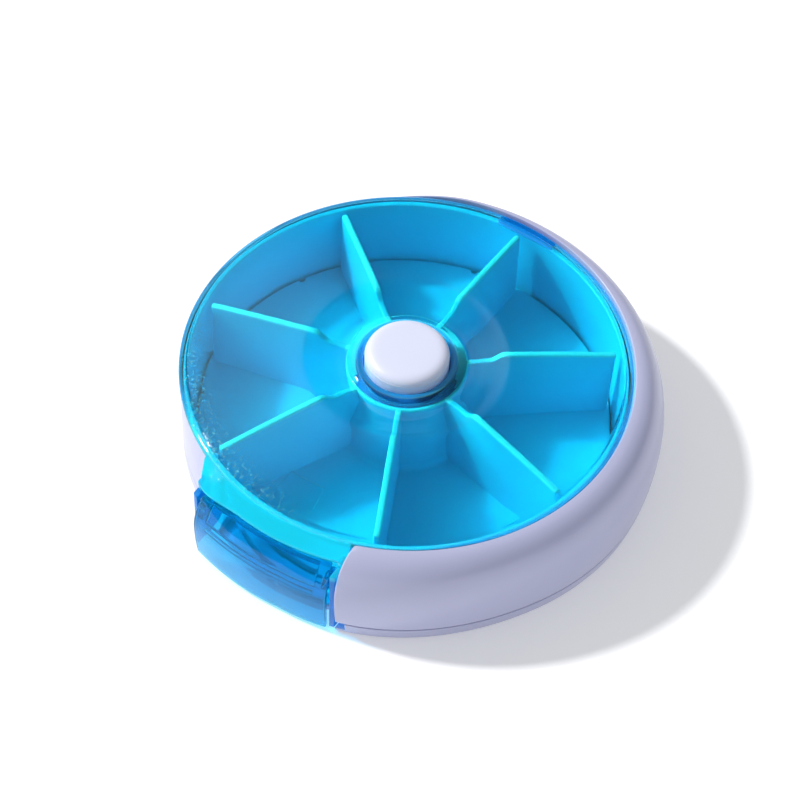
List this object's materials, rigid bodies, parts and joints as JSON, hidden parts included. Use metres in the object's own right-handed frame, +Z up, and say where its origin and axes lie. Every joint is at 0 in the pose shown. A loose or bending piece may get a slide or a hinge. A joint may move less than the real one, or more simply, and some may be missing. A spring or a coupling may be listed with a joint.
{
  "type": "pill dispenser",
  "caption": "Round flat pill box with a turning tray of compartments under a clear dome, a centre push button that advances the tray, and a flap over the outlet.",
  "frame": {"origin": "the tray's turning axis at the resting plane", "axes": "+Z up along the tray's and the button's axis, -Y towards the outlet flap, +X towards the widest part of the white crescent"},
  "size_m": [0.0973, 0.1004, 0.0258],
  "materials": {
    "white_shell": "smooth lilac-white moulding with a soft gloss",
    "button_white": "satin lilac-white moulding",
    "cyan_tray": "opaque cyan moulding, satin",
    "clear_blue": "transparent blue moulding, polished",
    "grey_acetal": "natural acetal, matt",
    "steel": "plated steel"
  },
  "bodies": {
    "case": {"base_shell": "white_shell", "body_shell": "white_shell", "drum_ring": "cyan_tray", "outlet_sill": "cyan_tray", "cover": "clear_blue", "detent_spring": "grey_acetal", "return_spring": "steel", "door_pin_left": "steel", "door_pin_right": "steel", "detent_screw": "steel", "case_screw_1": "steel", "case_screw_2": "steel", "case_screw_3": "steel", "case_screw_4": "steel"},
    "tray": {"pill_tray": "cyan_tray"},
    "button": {"button_cap": "button_white", "plunger": "grey_acetal"},
    "driver": {"driver_ring": "grey_acetal", "spring_washer": "steel"},
    "door": {"outlet_door": "clear_blue"}
  },
  "joints": [
    {"name": "tray_turn", "type": "hinge", "parent": "case", "child": "tray", "pos_m": [0, 0, 0.0035], "axis": [0, 0, 1], "continuous": true},
    {"name": "button_press", "type": "slide", "parent": "case", "child": "button", "axis": [0, 0, 1], "range_m": [-0.003, 0], "stiffness_N_per_m": 400, "springref_m": 0.003, "deforming": ["return_spring"]},
    {"name": "driver_turn", "type": "hinge", "parent": "case", "child": "driver", "pos_m": [0, 0, 0.007], "axis": [0, 0, 1], "range_deg": [0, 51.5]},
    {"name": "door_flip", "type": "hinge", "parent": "case", "child": "door", "pos_m": [0.001, -0.0458, 0.014], "axis": [-1, 0, 0], "range_deg": [0, 55]}
  ],
  "couplings": [
    {"joint": "driver_turn", "follows": "button_press", "rad_per_m": -299.2}
  ]
}
